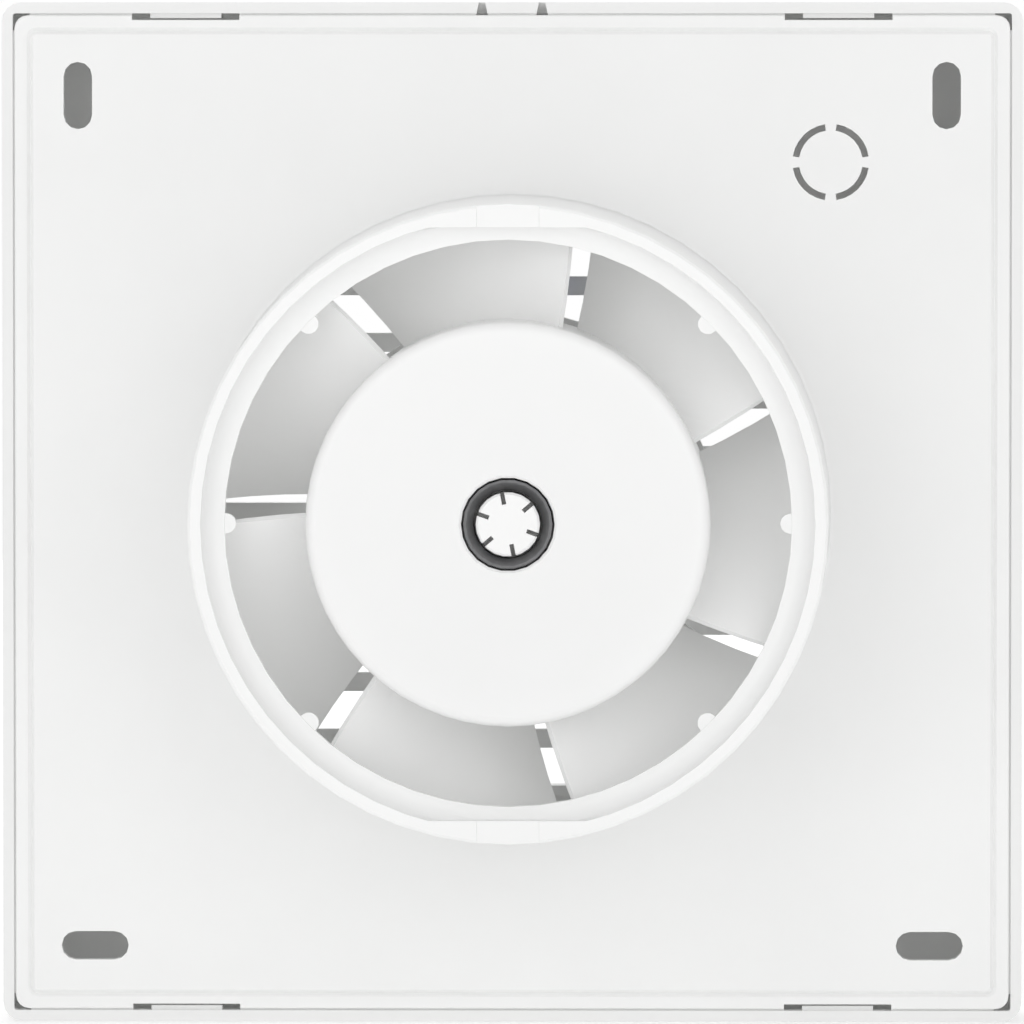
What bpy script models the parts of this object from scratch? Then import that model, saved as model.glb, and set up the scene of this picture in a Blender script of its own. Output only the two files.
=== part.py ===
"""A bathroom extractor fan for a 100 mm duct, as an assembly of its separate pieces.

The fan axis is Y. The wall plane is Y = 0, the room lies at -Y and the duct at +Y, with Z up.
Angles round the axis run clockwise from the top, as seen from the duct side.
"""

import math

import bmesh
import bpy
from mathutils import Matrix, Vector

MM = 0.001

# Fits and mesh fineness
FIT = 0.3 * MM
OVERLAP = 0.8 * MM
MERGE = 0.001 * MM
LARGE_STEPS = 56
MEDIUM_STEPS = 22
SMALL_STEPS = 12
CORNER_STEPS = 4
ROUND_STEPS = 3
ARC_STEPS = 2
SLOT_STEPS = 6
SMOOTH_LIMIT = 32
QUARTER = 90

# Housing plate
PLATE_SIDE = 154 * MM
PLATE_THICKNESS = 2 * MM
PLATE_CORNER = 2 * MM
PLATE_CHAMFER = 0.2 * MM
PLATE_RIM = 0.5 * MM
RIM_OVERHANG = 1 * MM
SKIRT_DEPTH = 10 * MM
SKIRT_WALL = 1.6 * MM
GROOVE_INSET = 2.4 * MM
GROOVE_WIDTH = 1 * MM
GROOVE_DEPTH = 0.6 * MM

# Fixing slots and the cable knock-out, set in from the plate's edges
SLOT_LENGTH = 10.4 * MM
SLOT_WIDTH = 4.4 * MM
UPPER_SLOT_SIDE_INSET = 9.8 * MM
UPPER_SLOT_TOP_INSET = 12.4 * MM
LOWER_SLOT_SIDE_INSET = 12.3 * MM
LOWER_SLOT_BOTTOM_INSET = 9.8 * MM
KNOCKOUT_SIDE_INSET = 27.7 * MM
KNOCKOUT_TOP_INSET = 22.7 * MM
KNOCKOUT_OUTER = 5.93 * MM
KNOCKOUT_INNER = 4.93 * MM
KNOCKOUT_WEB = 1.67 * MM

# Spigot
SPIGOT_LENGTH = 44 * MM
SPIGOT_BASE_RADIUS = 49.2 * MM
SPIGOT_TAPER = 0.7 * MM
SPIGOT_WALL = 3 * MM
SPIGOT_FILLET = 0.8 * MM
SPIGOT_EDGE = 0.4 * MM
INLET_ROUND = 1.8 * MM
LIP_REACH = 5.5 * MM
LIP_FRONT = 38.6 * MM
LIP_THICKNESS = 1.6 * MM
LIP_LAND = 0.5 * MM
END_RIM = 2 * MM
FLAT_INSET = 3.6 * MM
PAD_WIDTH = 9.5 * MM
PAD_DEPTH = 0.3 * MM
NUB_HEIGHT = 1.8 * MM
NUB_WIDTH = 3.1 * MM
NUB_INSET = 0.2 * MM
NUB_ANGLES = (45, 90, 135, 225, 270, 315)

# Cover
COVER_WALL = 1.7 * MM
COVER_CORNER = 3 * MM
COVER_INNER_CORNER = 0.4 * MM
COVER_REAR_GAP = 0.4 * MM
COVER_DEPTH = 23 * MM
COVER_FRONT_ROUND = 4.5 * MM
COVER_FRONT_WALL = 1.7 * MM
LEDGE_HEIGHT = 1.6 * MM
LEDGE_CORNER_GAP = 1.6 * MM
LEDGE_CUT = 0.1 * MM
SLAT_COUNT = 9
SLAT_PITCH = 8.85 * MM
SLAT_HEIGHT = 2.95 * MM
SLAT_REAR = 17 * MM
SLAT_SET_IN = 0.4 * MM
SLAT_NOSE = 1.1 * MM
GRILLE_Z = -0.6 * MM
GRILLE_CORNER = 4 * MM
GRILLE_WALL = 1.6 * MM
RIB_WIDTH = 2 * MM
RIB_DEPTH = 1.8 * MM

# Clips that hold the cover on the housing
CLIP_INSET = 26.5 * MM
NOTCH_LENGTH = 16.65 * MM
NOTCH_DEPTH = 0.73 * MM
TONGUE_LENGTH = 11 * MM
TONGUE_SET_BACK = 0.9 * MM
FINGER_SLIT_X = 4.65 * MM
FINGER_SLIT_INNER = 1.7 * MM
FINGER_SLIT_OUTER = 0.95 * MM
FINGER_LENGTH = 9 * MM

# Impeller
BLADE_COUNT = 7
HUB_RADIUS = 30.7 * MM
HUB_REAR = 43.5 * MM
HUB_FRONT = 8 * MM
HUB_WALL = 1.9 * MM
HUB_FACE = 2 * MM
HUB_SHOULDER = 1.6 * MM
HUB_INNER_FILLET = 1 * MM
TIP_GAP = 1 * MM
BLADE_REAR = 35 * MM
BLADE_DEPTH = 19 * MM
BLADE_THICKNESS = 1.7 * MM
BLADE_EDGE = 0.9 * MM
BLADE_TURN = 1.35
BLADE_SECTIONS = 4
BLADE_POINTS = 7
TRAILING_AT_HUB = 66.36
TRAILING_AT_LIP = 64.16
LEADING_AT_HUB = 19.84
LEADING_AT_LIP = 16.97

# Collet in the hub and the ring that clamps it
COLLET_RADIUS = 4.87 * MM
COLLET_SINK = 0.2 * MM
COLLET_CHAMFER = 0.35 * MM
COLLET_CAP = 2 * MM
COLLET_SLITS = 6
COLLET_SLIT_START = 3.04 * MM
COLLET_SLIT_WIDTH = 0.67 * MM
COLLET_SLIT_DEPTH = 4.5 * MM
COLLET_SLIT_ANGLE = -10.5
RING_POCKET_RADIUS = 7.1 * MM
RING_POCKET_DEPTH = 6 * MM
RING_INNER_RADIUS = 5.25 * MM
RING_SINK = 0.5 * MM
RING_BEVEL = 0.9 * MM
BOSS_RADIUS = 9 * MM
BOSS_FRONT = 28 * MM

# Motor
SHAFT_RADIUS = 2 * MM
SHAFT_FRONT = -11 * MM
SHAFT_CHAMFER = 0.4 * MM
STACK_FRONT = 1.2 * MM
STACK_LENGTH = 14 * MM
STACK_RADIUS = 25.5 * MM
YOKE_INNER = 21 * MM
POLE_COUNT = 4
POLE_WIDTH = 8 * MM
POLE_BORE = 13 * MM
SHOE_THICKNESS = 2.2 * MM
SHOE_HALF_ANGLE = 33
FIRST_POLE = 8
AIR_GAP = 0.5 * MM
COIL_OUTER_RADIUS = 19.2 * MM
COIL_THICKNESS = 2.8 * MM
COIL_ROUND = 0.5 * MM
CAGE_RING = 1.5 * MM
CAGE_INNER = 6 * MM
BRACKET_RADIUS = 25.4 * MM
BRACKET_WALL_INNER = 21.4 * MM
BRACKET_WEB = 1.8 * MM
BRACKET_FRONT_DEPTH = 7.9 * MM
BRACKET_HUB_WALL = 2.7 * MM
BEARING_RADIUS = 5 * MM
BEARING_LENGTH = 6.4 * MM
BEARING_CROWN = 0.8 * MM
WASHER_RADIUS = 4.5 * MM
WASHER_THICKNESS = 0.5 * MM
BOLT_CIRCLE = 23.2 * MM
BOLT_RADIUS = 1.2 * MM
BOLT_HEAD_RADIUS = 2.4 * MM
BOLT_HEAD_HEIGHT = 2 * MM
BOLT_TAIL = 0.6 * MM
HEAD_CROWN = 0.75
DRIVE_REACH = 0.62
DRIVE_WIDTH = 0.8 * MM
DRIVE_DEPTH = 0.9 * MM
BOLT_ANGLES = (53, 233)
NUT_RADIUS = 2.6 * MM
NUT_HEIGHT = 2 * MM
NUT_SIDES = 6

# Motor carrier
CARRIER_ARM_ANGLES = (8, 128, 248)
CARRIER_THICKNESS = 3 * MM
CARRIER_OUTER = 27.6 * MM
CARRIER_HOLE = 8.8 * MM
FLANGE_RADIUS = 30.1 * MM
RIM_GAP = 0.45 * MM
RIM_WALL = 0.85 * MM
CUP_WALL = 1.6 * MM
CUP_DEPTH = 9 * MM
ARM_WIDTH = 5.4 * MM
ARM_INSET = 0.25 * MM
ARM_RIB = 2 * MM
ARM_RIB_HEIGHT = 3 * MM
PAD_OFFSET = 4.8 * MM
PAD_RADIUS = 5 * MM
BOSS_OUTER = 4 * MM
BOSS_FLOOR = 0.6 * MM

# Screws and the wiring space
SCREW_RADIUS = 1.3 * MM
SCREW_HEAD_RADIUS = 2.8 * MM
SCREW_HEAD_HEIGHT = 2 * MM
SCREW_LENGTH = 7 * MM
TERMINAL_SIDE_INSET = 19 * MM
TERMINAL_BELOW_CLAMP = 13 * MM
TERMINAL_WIDTH = 16 * MM
TERMINAL_HEIGHT = 14 * MM
TERMINAL_DEPTH = 9 * MM
TERMINAL_CORNER = 0.9 * MM
TERMINAL_POLE_Z = 3.6 * MM
TERMINAL_ENTRY = 1.6 * MM
TERMINAL_ENTRY_DEPTH = 4 * MM
TERMINAL_WELL = 1.9 * MM
TERMINAL_WELL_DEPTH = 3.5 * MM
TERMINAL_SCREW_X = 4.6 * MM
TERMINAL_FIXING_X = -4.4 * MM
TERMINAL_BOSS_HEIGHT = 3 * MM
TERMINAL_SCREW_RADIUS = 1.6 * MM
TERMINAL_SCREW_HEIGHT = 2.4 * MM
CLAMP_SIDE_INSET = 18 * MM
CLAMP_BELOW_KNOCKOUT = 11.3 * MM
CLAMP_SPAN = 15 * MM
CLAMP_WIDTH = 6 * MM
CLAMP_THICKNESS = 2.4 * MM
CLAMP_ARCH = 1.6 * MM
CLAMP_BOSS_HEIGHT = 4 * MM
CLAMP_EAR = 3.4 * MM
SMALL_BOSS_RADIUS = 3 * MM
LEAD_RADIUS = 0.9 * MM
LEAD_SPACING = 4.4 * MM
LEAD_CLEARANCE = 0.7 * MM
LEAD_POINT_GAP = 5 * MM
LEAD_STRAIGHT = 3 * MM
LEAD_RING_OFFSET = 5.8 * MM
LEAD_RING_ANGLES = (46, 34, 22)
LEAD_ARM_RADIUS = 42 * MM

# Values that follow from the sizes above
PLATE_HALF = PLATE_SIDE / 2
PLATE_FRONT = -PLATE_THICKNESS
UPPER_SLOT_X = PLATE_HALF - UPPER_SLOT_SIDE_INSET
UPPER_SLOT_Z = PLATE_HALF - UPPER_SLOT_TOP_INSET
LOWER_SLOT_X = PLATE_HALF - LOWER_SLOT_SIDE_INSET
LOWER_SLOT_Z = PLATE_HALF - LOWER_SLOT_BOTTOM_INSET
KNOCKOUT_X = KNOCKOUT_SIDE_INSET - PLATE_HALF
KNOCKOUT_Z = PLATE_HALF - KNOCKOUT_TOP_INSET
CLIP_X = PLATE_HALF - CLIP_INSET
SKIRT_HALF = PLATE_HALF - RIM_OVERHANG
COVER_INNER_HALF = PLATE_HALF + FIT
LEDGE_HALF = SKIRT_HALF + FIT
LEDGE_REAR = -PLATE_RIM - FIT
LEDGE_FRONT = LEDGE_REAR - LEDGE_HEIGHT
COVER_HALF = COVER_INNER_HALF + COVER_WALL
COVER_FRONT = -COVER_DEPTH
SPIGOT_END_RADIUS = SPIGOT_BASE_RADIUS - SPIGOT_TAPER
TUNNEL_RADIUS = SPIGOT_BASE_RADIUS - SPIGOT_WALL
RECESS_RADIUS = SPIGOT_END_RADIUS - END_RIM
FLAT_HEIGHT = SPIGOT_END_RADIUS - FLAT_INSET
LIP_RADIUS = SPIGOT_END_RADIUS - LIP_REACH
NUB_REACH = LIP_RADIUS - NUB_HEIGHT
GRILLE_WIDTH = 2 * TUNNEL_RADIUS
PAD_CIRCLE = SPIGOT_BASE_RADIUS + PAD_OFFSET
LIP_REAR = LIP_FRONT + LIP_THICKNESS
TIP_RADIUS = TUNNEL_RADIUS - TIP_GAP
HUB_INNER = HUB_RADIUS - HUB_WALL
COLLET_REAR = HUB_REAR - COLLET_SINK
SHAFT_BORE = SHAFT_RADIUS + FIT
SHAFT_REAR = COLLET_REAR - COLLET_CAP - FIT
STACK_REAR = STACK_FRONT + STACK_LENGTH
STACK_MIDDLE = STACK_FRONT + STACK_LENGTH / 2
SHOE_OUTER = POLE_BORE + SHOE_THICKNESS
COIL_INNER_RADIUS = SHOE_OUTER + FIT
COIL_HALF_DEPTH = STACK_LENGTH / 2 + FIT + COIL_THICKNESS
COIL_FRONT = STACK_MIDDLE - COIL_HALF_DEPTH
BRACKET_FRONT = STACK_FRONT - FIT - BRACKET_FRONT_DEPTH
BRACKET_REAR = STACK_REAR + FIT + BRACKET_FRONT_DEPTH
BEARING_SEAT = BEARING_RADIUS + FIT
CARRIER_REAR = BRACKET_FRONT - FIT
CARRIER_FRONT = CARRIER_REAR - CARRIER_THICKNESS
BOLT_HOLE = BOLT_RADIUS + FIT
SCREW_HOLE = SCREW_RADIUS + FIT
BOSS_TOP = CARRIER_REAR + FIT
LEAD_HOLE = LEAD_RADIUS + LEAD_CLEARANCE
LEAD_CIRCLE = (COIL_INNER_RADIUS + COIL_OUTER_RADIUS) / 2
LEAD_RING_RADIUS = TUNNEL_RADIUS + LEAD_RING_OFFSET
CLAMP_X = CLAMP_SIDE_INSET - PLATE_HALF
CLAMP_Z = KNOCKOUT_Z - CLAMP_BELOW_KNOCKOUT
TERMINAL_X = TERMINAL_SIDE_INSET - PLATE_HALF
TERMINAL_Z = CLAMP_Z - TERMINAL_BELOW_CLAMP
TERMINAL_REAR = PLATE_FRONT - TERMINAL_BOSS_HEIGHT - FIT
TERMINAL_FRONT = TERMINAL_REAR - TERMINAL_DEPTH
CLAMP_REAR = PLATE_FRONT - CLAMP_BOSS_HEIGHT - FIT
CLAMP_FRONT = CLAMP_REAR - CLAMP_THICKNESS


def clear_scene():
    """Leaves an empty scene to build in."""
    for item in list(bpy.data.objects):
        bpy.data.objects.remove(item, do_unlink=True)


def make_material(name, colour, roughness, metallic=0.0):
    """A plain surface of this colour."""
    material = bpy.data.materials.new(name)
    material.use_nodes = True
    shader = material.node_tree.nodes["Principled BSDF"]
    shader.inputs["Base Color"].default_value = (*colour, 1)
    shader.inputs["Roughness"].default_value = roughness
    shader.inputs["Metallic"].default_value = metallic
    return material


def add_object(name, mesh):
    """Puts a finished bmesh into the scene under this name."""
    bmesh.ops.recalc_face_normals(mesh, faces=mesh.faces)
    data = bpy.data.meshes.new(name)
    mesh.to_mesh(data)
    mesh.free()
    item = bpy.data.objects.new(name, data)
    bpy.context.scene.collection.objects.link(item)
    return item


def finish(item, material, parent=None):
    """Gives a piece its material and smooth round faces, and hangs it on its axis."""
    item.data.materials.clear()
    item.data.materials.append(material)
    item.data.shade_smooth()
    item.data.set_sharp_from_angle(angle=math.radians(SMOOTH_LIMIT))
    item.parent = parent
    return item


def combine(target, operation, *meshes):
    """Joins, cuts or intersects a piece with helper meshes, and keeps the result as its mesh."""
    helpers = [add_object("helper", mesh) for mesh in meshes]
    for helper in helpers:
        modifier = target.modifiers.new(operation.lower(), "BOOLEAN")
        modifier.operation = operation
        modifier.solver = "EXACT"
        modifier.object = helper
    bpy.context.view_layer.update()
    graph = bpy.context.evaluated_depsgraph_get()
    result = bpy.data.meshes.new_from_object(target.evaluated_get(graph))
    target.modifiers.clear()
    target.data = result
    for helper in helpers:
        bpy.data.objects.remove(helper, do_unlink=True)
    mesh = bmesh.new()
    mesh.from_mesh(result)
    bmesh.ops.remove_doubles(mesh, verts=mesh.verts, dist=MERGE)
    bmesh.ops.dissolve_degenerate(mesh, edges=mesh.edges, dist=MERGE)
    mesh.to_mesh(result)
    mesh.free()


def turned(mesh, angle):
    """The mesh turned about the fan axis, clockwise as seen from the duct side."""
    turn = Matrix.Rotation(-math.radians(angle), 4, "Y")
    bmesh.ops.transform(mesh, matrix=turn, verts=mesh.verts)
    return mesh


def moved(mesh, x=0.0, y=0.0, z=0.0):
    """The mesh moved by these distances."""
    bmesh.ops.translate(mesh, vec=(x, y, z), verts=mesh.verts)
    return mesh


def merged(meshes):
    """One mesh that holds several separate bodies."""
    whole = bmesh.new()
    for mesh in meshes:
        data = bpy.data.meshes.new("part")
        mesh.to_mesh(data)
        mesh.free()
        whole.from_mesh(data)
        bpy.data.meshes.remove(data)
    return whole


def arc(centre_a, centre_b, radius, start, end, steps=ARC_STEPS):
    """Points on a circle from one angle to another, both in degrees."""
    points = []
    for step in range(steps + 1):
        angle = math.radians(start + (end - start) * step / steps)
        points.append((centre_a + radius * math.cos(angle), centre_b + radius * math.sin(angle)))
    return points


def rounded_rectangle(half_width, half_height, radius):
    """The outline of a rectangle with round corners."""
    points = []
    for quarter, (side, top) in enumerate(((1, 1), (-1, 1), (-1, -1), (1, -1))):
        centre_x = side * (half_width - radius)
        centre_z = top * (half_height - radius)
        start = QUARTER * quarter
        points += arc(centre_x, centre_z, radius, start, start + QUARTER, CORNER_STEPS)
    return points


def stadium(length, width):
    """The outline of a slot with round ends, its length along the first axis."""
    radius = width / 2
    reach = length / 2 - radius
    return arc(reach, 0, radius, -90, 90, SLOT_STEPS) + arc(-reach, 0, radius, 90, 270, SLOT_STEPS)


def at_depth(outline, y):
    """An outline set upright across the fan axis at this depth."""
    return [(x, y, z) for x, z in outline]


def square_loop(half, radius, y):
    """A square outline with round corners at this depth."""
    return at_depth(rounded_rectangle(half, half, radius), y)


def cap_across(mesh, row):
    """Closes a slender curved outline with a strip of faces from its one long side to the other."""
    last = len(row) - 1
    for near in range(last // 2):
        mesh.faces.new((row[near], row[near + 1], row[last - near - 1], row[last - near]))


def loft(loops, ring=False, slender=False):
    """A closed mesh through outlines of equal counts, capped at the ends or joined into a ring."""
    mesh = bmesh.new()
    rows = [[mesh.verts.new(point) for point in loop] for loop in loops]
    pairs = list(zip(rows, rows[1:]))
    if ring:
        pairs.append((rows[-1], rows[0]))
    else:
        for end in (rows[0], rows[-1]):
            if slender:
                cap_across(mesh, end)
            else:
                mesh.faces.new(end)
    for lower, upper in pairs:
        count = len(lower)
        for near in range(count):
            far = (near + 1) % count
            mesh.faces.new((lower[near], lower[far], upper[far], upper[near]))
    bmesh.ops.recalc_face_normals(mesh, faces=mesh.faces)
    return mesh


def prism(outline, front, rear):
    """An outline across the fan axis, extruded from one depth to another."""
    return loft([at_depth(outline, front), at_depth(outline, rear)])


def bar(outline, start, end):
    """An outline of depth and height, extruded sideways."""
    return loft([[(x, y, z) for y, z in outline] for x in (start, end)])


def box(x_range, y_range, z_range):
    """A block between these limits."""
    outline = [(x_range[0], z_range[0]), (x_range[1], z_range[0])]
    outline += [(x_range[1], z_range[1]), (x_range[0], z_range[1])]
    return prism(outline, *y_range)


def revolve(profile, steps=LARGE_STEPS):
    """A profile of radius and depth, spun round the fan axis. On the axis its ends stay open."""
    mesh = bmesh.new()
    verts = [mesh.verts.new((radius, y, 0)) for radius, y in profile]
    edges = [mesh.edges.new(pair) for pair in zip(verts, verts[1:])]
    if profile[0][0] > 0 or profile[-1][0] > 0:
        edges.append(mesh.edges.new((verts[-1], verts[0])))
    bmesh.ops.spin(
        mesh,
        geom=verts + edges,
        axis=(0, 1, 0),
        cent=(0, 0, 0),
        angle=math.tau,
        steps=steps,
        use_merge=True,
    )
    bmesh.ops.remove_doubles(mesh, verts=mesh.verts, dist=MERGE)
    bmesh.ops.recalc_face_normals(mesh, faces=mesh.faces)
    return mesh


def cylinder(radius, front, rear, steps=SMALL_STEPS):
    """A round bar along the fan axis."""
    return revolve([(0, front), (radius, front), (radius, rear), (0, rear)], steps)


def polar(angle, radius):
    """The place at this angle and distance from the fan axis."""
    turn = math.radians(angle)
    return -radius * math.sin(turn), radius * math.cos(turn)


def plate_tray():
    """The back plate, whose thin rim overhangs the skirt that runs forward round it."""
    inner_half = SKIRT_HALF - SKIRT_WALL
    corner = PLATE_CORNER - RIM_OVERHANG
    edge_half = PLATE_HALF - PLATE_CHAMFER
    return loft([
        square_loop(inner_half, corner / 2, PLATE_FRONT),
        square_loop(inner_half, corner / 2, -SKIRT_DEPTH),
        square_loop(SKIRT_HALF, corner, -SKIRT_DEPTH),
        square_loop(SKIRT_HALF, corner, -PLATE_RIM),
        square_loop(PLATE_HALF, PLATE_CORNER, -PLATE_RIM),
        square_loop(PLATE_HALF, PLATE_CORNER, -PLATE_CHAMFER),
        square_loop(edge_half, PLATE_CORNER - PLATE_CHAMFER, 0),
    ])


def spigot_body():
    """The outside of the spigot, solid, with its root fillet and slight taper."""
    root = SPIGOT_BASE_RADIUS + SPIGOT_FILLET
    profile = [(0, PLATE_FRONT / 2), (root, PLATE_FRONT / 2), (root, 0)]
    profile += arc(root, SPIGOT_FILLET, SPIGOT_FILLET, 270, 180)[1:]
    profile += [(SPIGOT_END_RADIUS, SPIGOT_LENGTH - SPIGOT_EDGE)]
    profile += [(SPIGOT_END_RADIUS - SPIGOT_EDGE, SPIGOT_LENGTH), (0, SPIGOT_LENGTH)]
    return revolve(profile)


def tunnel_cutter():
    """The air path: rounded inlet, straight tunnel and the hole inside the lip."""
    mouth = TUNNEL_RADIUS + INLET_ROUND
    profile = [(0, PLATE_FRONT - OVERLAP), (mouth, PLATE_FRONT - OVERLAP)]
    profile += arc(mouth, PLATE_FRONT + INLET_ROUND, INLET_ROUND, 270, 180)
    profile += [(TUNNEL_RADIUS, LIP_FRONT), (LIP_RADIUS, LIP_FRONT)]
    profile += [(LIP_RADIUS, SPIGOT_LENGTH + OVERLAP), (0, SPIGOT_LENGTH + OVERLAP)]
    return revolve(profile)


def recess_cutter():
    """The hollow behind the lip, round in section and cut off by the flats at top and bottom."""
    land = LIP_RADIUS + LIP_LAND
    cove = RECESS_RADIUS - land
    above = SPIGOT_LENGTH + OVERLAP
    profile = [(0, LIP_REAR)] + arc(land, LIP_REAR + cove, cove, 270, 360, ROUND_STEPS)
    profile += [(RECESS_RADIUS, above), (0, above)]
    cutter = add_object("recess", revolve(profile))
    reach = RECESS_RADIUS + OVERLAP
    slab = box((-reach, reach), (LIP_FRONT, above + OVERLAP), (-FLAT_HEIGHT, FLAT_HEIGHT))
    combine(cutter, "INTERSECT", slab)
    mesh = bmesh.new()
    mesh.from_mesh(cutter.data)
    bpy.data.objects.remove(cutter, do_unlink=True)
    return mesh


def end_pad_cutters():
    """Shallow steps across the spigot's end face at top and bottom."""
    half = PAD_WIDTH / 2
    depth = (SPIGOT_LENGTH - PAD_DEPTH, SPIGOT_LENGTH + OVERLAP)
    reach = (LIP_RADIUS, SPIGOT_BASE_RADIUS + OVERLAP)
    top = box((-half, half), depth, reach)
    return [top, turned(box((-half, half), depth, reach), 180)]


def nubs():
    """The six round nubs on the lip's inner edge."""
    radius = NUB_WIDTH / 2
    outline = [(radius, LIP_RADIUS + OVERLAP), (-radius, LIP_RADIUS + OVERLAP)]
    outline += arc(0, NUB_REACH + radius, radius, 180, 360, SLOT_STEPS)
    span = (LIP_FRONT + NUB_INSET, LIP_REAR - NUB_INSET)
    return [turned(prism(outline, *span), angle) for angle in NUB_ANGLES]


def fixing_slot_cutters():
    """Upright slots in the upper corners and level slots in the lower ones."""
    level = stadium(SLOT_LENGTH, SLOT_WIDTH)
    upright = [(z, x) for x, z in level]
    span = (PLATE_FRONT - OVERLAP, OVERLAP)
    cutters = []
    for side in (-1, 1):
        cutters.append(moved(prism(upright, *span), side * UPPER_SLOT_X, 0, UPPER_SLOT_Z))
        cutters.append(moved(prism(level, *span), side * LOWER_SLOT_X, 0, -LOWER_SLOT_Z))
    return cutters


def knockout_cutters():
    """Four arc slots that leave a disc on four webs, to be pushed out for the cable."""
    cutters = []
    middle = (KNOCKOUT_OUTER + KNOCKOUT_INNER) / 2
    half_web = math.degrees(KNOCKOUT_WEB / 2 / middle)
    for quarter in range(4):
        start = QUARTER * quarter + half_web
        end = QUARTER * (quarter + 1) - half_web
        outline = arc(0, 0, KNOCKOUT_OUTER, start, end, SLOT_STEPS)
        outline += arc(0, 0, KNOCKOUT_INNER, end, start, SLOT_STEPS)
        slot = prism(outline, PLATE_FRONT - OVERLAP, OVERLAP)
        cutters.append(moved(slot, KNOCKOUT_X, 0, KNOCKOUT_Z))
    return cutters


def groove_cutter():
    """The fine V-groove that runs round the plate."""
    middle = PLATE_HALF - GROOVE_INSET
    half = GROOVE_WIDTH / 2
    corner = GROOVE_WIDTH
    return loft([
        square_loop(middle + half, corner + half, 0),
        square_loop(middle + half, corner + half, OVERLAP),
        square_loop(middle - half, corner - half, OVERLAP),
        square_loop(middle - half, corner - half, 0),
        square_loop(middle, corner, -GROOVE_DEPTH),
    ], ring=True)


def clip_notch_cutters():
    """Notches in the rim at the plate's top and bottom, where the cover's tongues lie."""
    half = NOTCH_LENGTH / 2
    depth = (-PLATE_RIM - FIT, OVERLAP)
    cutters = []
    for side in (-1, 1):
        for height in (-1, 1):
            heights = sorted((height * (PLATE_HALF - NOTCH_DEPTH), height * (PLATE_HALF + OVERLAP)))
            middle = side * CLIP_X
            cutters.append(box((middle - half, middle + half), depth, heights))
    return cutters


def carrier_pads():
    """Places of the three screws that hold the motor carrier."""
    return [polar(angle, PAD_CIRCLE) for angle in CARRIER_ARM_ANGLES]


def clamp_screw_places():
    """Places of the two screws of the cable clamp."""
    return [(CLAMP_X + side * CLAMP_SPAN / 2, CLAMP_Z) for side in (-1, 1)]


def terminal_fixing_place():
    """Place of the screw that holds the terminal block."""
    return TERMINAL_X + TERMINAL_FIXING_X, TERMINAL_Z


def screw_bosses():
    """Every boss on the plate's front face: place, outer radius and the depth of its top."""
    bosses = [(place, BOSS_OUTER, BOSS_TOP) for place in carrier_pads()]
    bosses += [(place, SMALL_BOSS_RADIUS, CLAMP_REAR + FIT) for place in clamp_screw_places()]
    bosses.append((terminal_fixing_place(), SMALL_BOSS_RADIUS, TERMINAL_REAR + FIT))
    return bosses


def build_housing(material):
    """The moulded back plate with its spigot."""
    housing = add_object("housing", plate_tray())
    solid_bosses = []
    boss_holes = []
    for (x, z), radius, top in screw_bosses():
        solid_bosses.append(moved(cylinder(radius, top, PLATE_FRONT / 2), x, 0, z))
        hole = cylinder(SCREW_HOLE, top - OVERLAP, -BOSS_FLOOR)
        boss_holes.append(moved(hole, x, 0, z))
    combine(housing, "UNION", spigot_body(), merged(solid_bosses))
    combine(housing, "DIFFERENCE", recess_cutter())
    combine(housing, "DIFFERENCE", tunnel_cutter())
    cutters = fixing_slot_cutters() + knockout_cutters() + clip_notch_cutters()
    cutters += end_pad_cutters() + boss_holes + [groove_cutter()]
    combine(housing, "DIFFERENCE", merged(cutters))
    combine(housing, "UNION", merged(nubs()))
    return finish(housing, material)


def cover_shell():
    """The cover without its grille: open behind, rounded in front, with a ledge under the plate's rim."""
    inner_front = COVER_FRONT + COVER_FRONT_WALL
    inner_round = COVER_FRONT_ROUND - COVER_FRONT_WALL
    loops = []
    for inset, depth in arc(inner_round, inner_round, inner_round, 270, 180):
        loops.append(square_loop(COVER_INNER_HALF - inset, COVER_INNER_CORNER, inner_front + depth))
    loops.append(square_loop(COVER_INNER_HALF, COVER_INNER_CORNER, LEDGE_FRONT))
    loops.append(square_loop(LEDGE_HALF, COVER_INNER_CORNER, LEDGE_FRONT))
    loops.append(square_loop(LEDGE_HALF, COVER_INNER_CORNER, LEDGE_REAR))
    loops.append(square_loop(COVER_INNER_HALF, COVER_INNER_CORNER, LEDGE_REAR))
    loops.append(square_loop(COVER_INNER_HALF, COVER_INNER_CORNER, -COVER_REAR_GAP))
    loops.append(square_loop(COVER_HALF, COVER_CORNER, -COVER_REAR_GAP))
    edge_round = arc(COVER_FRONT_ROUND, COVER_FRONT_ROUND, COVER_FRONT_ROUND, 180, 270, ROUND_STEPS)
    for inset, depth in edge_round:
        loops.append(square_loop(COVER_HALF - inset, COVER_CORNER, COVER_FRONT + depth))
    return loft(loops)


def grille_half_height():
    """Half the height of the slatted opening, with a gap above the first slat and below the last."""
    return (SLAT_COUNT + 1) * SLAT_PITCH / 2 - SLAT_HEIGHT / 2


def grille_outline(extra):
    """The slatted opening's outline, grown by a wall."""
    half_width = GRILLE_WIDTH / 2 + extra
    half_height = grille_half_height() + extra
    outline = rounded_rectangle(half_width, half_height, GRILLE_CORNER + extra)
    return [(x, GRILLE_Z + z) for x, z in outline]


def grille_wall():
    """The wall that runs back round the slatted opening and carries the slats."""
    rear = -SLAT_REAR + FIT
    front = COVER_FRONT + COVER_FRONT_WALL / 2
    inner = grille_outline(0)
    outer = grille_outline(GRILLE_WALL)
    loops = [at_depth(inner, front), at_depth(inner, rear), at_depth(outer, rear), at_depth(outer, front)]
    return loft(loops, ring=True)


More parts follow.
